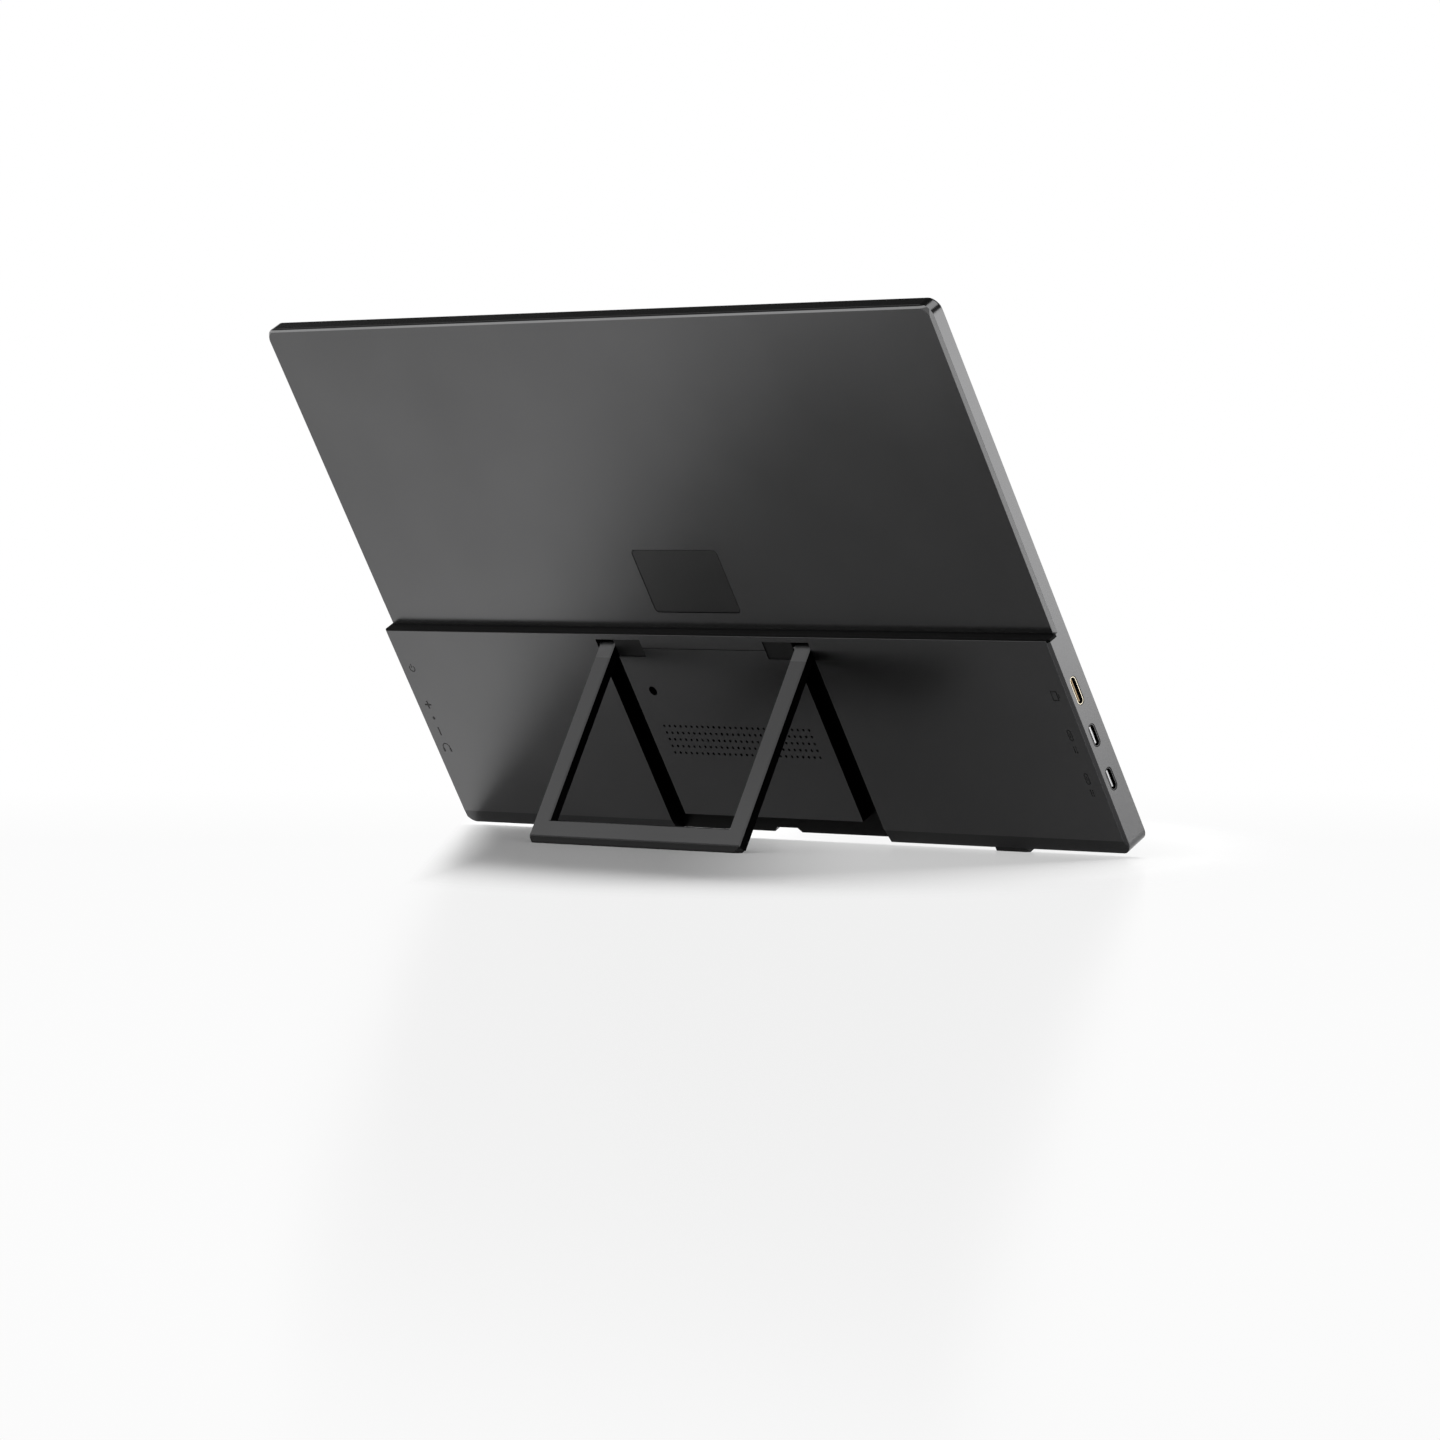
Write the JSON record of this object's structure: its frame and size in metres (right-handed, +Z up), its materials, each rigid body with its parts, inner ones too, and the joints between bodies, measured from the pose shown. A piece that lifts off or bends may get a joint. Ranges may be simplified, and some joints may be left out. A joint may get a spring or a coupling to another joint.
{
  "type": "portable monitor",
  "caption": "Slim portable screen with a thicker lower back, side sockets, speaker grille and a fold-out U-shaped stand on friction hinges.",
  "frame": {"origin": "on the table, under the middle of the overall box, with the stand open as it is used", "axes": "+Z up, +Y to the rear (the screen faces -Y and leans back), +X to the side with the button, wheel and jack"},
  "size_m": [0.3569, 0.1164, 0.1993],
  "materials": {
    "housing": "bead-blasted, anodised dark grey",
    "front_frame": "fine matte",
    "screen_glass": "anti-glare",
    "foam": "closed-cell foam",
    "optical_film": "diffusing film",
    "light_guide": "clear",
    "led_bar": "white",
    "tray_steel": "plain sheet",
    "circuit_board": "solder mask",
    "components": "moulded",
    "ribbon": "flat cable",
    "socket_steel": "drawn steel",
    "socket_brass": "gold flashed",
    "socket_tongue": "moulded",
    "controls": "satin",
    "jack_body": "moulded",
    "speaker_body": "moulded",
    "dust_mesh": "fine mesh",
    "hinge_steel": "plain",
    "hinge_plate": "matte",
    "stand_metal": "anodised dark grey",
    "rubber": "matte",
    "label": "bare",
    "screw_steel": "black plated",
    "post_brass": "turned"
  },
  "bodies": {
    "display": {"backlight_tray": "tray_steel", "board_components": "components", "board_screws": "screw_steel", "case_posts": "post_brass", "case_screws": "screw_steel", "control_board": "circuit_board", "control_ribbon": "ribbon", "foot_left": "rubber", "foot_right": "rubber", "front_bezel": "front_frame", "grille_mesh": "dust_mesh", "headphone_jack": "jack_body", "hinge_bracket_left": "hinge_steel", "hinge_bracket_right": "hinge_steel", "hinge_cover_left": "hinge_plate", "hinge_cover_right": "hinge_plate", "hinge_screws": "screw_steel", "hinge_washers_left": "hinge_steel", "hinge_washers_right": "hinge_steel", "jog_switch": "components", "label_plate": "label", "lcd_cell": "screen_glass", "led_strip": "led_bar", "light_guide": "light_guide", "main_board": "circuit_board", "optical_films": "optical_film", "panel_board": "circuit_board", "panel_cable": "ribbon", "panel_gasket": "foam", "power_switch": "components", "rear_cover": "housing", "reflector_sheet": "optical_film", "speaker_gasket_left": "foam", "speaker_gasket_right": "foam", "speaker_lead": "ribbon", "speaker_left": "speaker_body", "speaker_right": "speaker_body", "usb_lower_shell": "socket_steel", "usb_lower_tongue": "socket_tongue", "usb_upper_shell": "socket_steel", "usb_upper_tongue": "socket_tongue", "video_shell": "socket_brass", "video_tongue": "socket_tongue"},
    "stand": {"stand_frame": "stand_metal", "stand_strip": "rubber", "hinge_arm_left": "stand_metal", "hinge_arm_right": "stand_metal", "hinge_shaft_left": "hinge_steel", "hinge_shaft_right": "hinge_steel"},
    "power_key": {"power_button": "controls"},
    "jog_control": {"jog_wheel": "controls"}
  },
  "joints": [
    {"name": "stand_hinge", "type": "hinge", "parent": "display", "child": "stand", "pos_m": [0, -0.00868, 0.07461], "axis": [1, 0, 0], "range_deg": [-57.22, 32.78]},
    {"name": "power_press", "type": "slide", "parent": "display", "child": "power_key", "axis": [-1, 0, 0], "range_m": [0, 0.0004], "stiffness_N_per_m": 1500},
    {"name": "jog_turn", "type": "hinge", "parent": "display", "child": "jog_control", "pos_m": [0.1734, -0.02787, 0.04597], "axis": [0, 0.866, -0.5], "range_deg": [-15, 15], "stiffness_Nm_per_rad": 0.02}
  ]
}
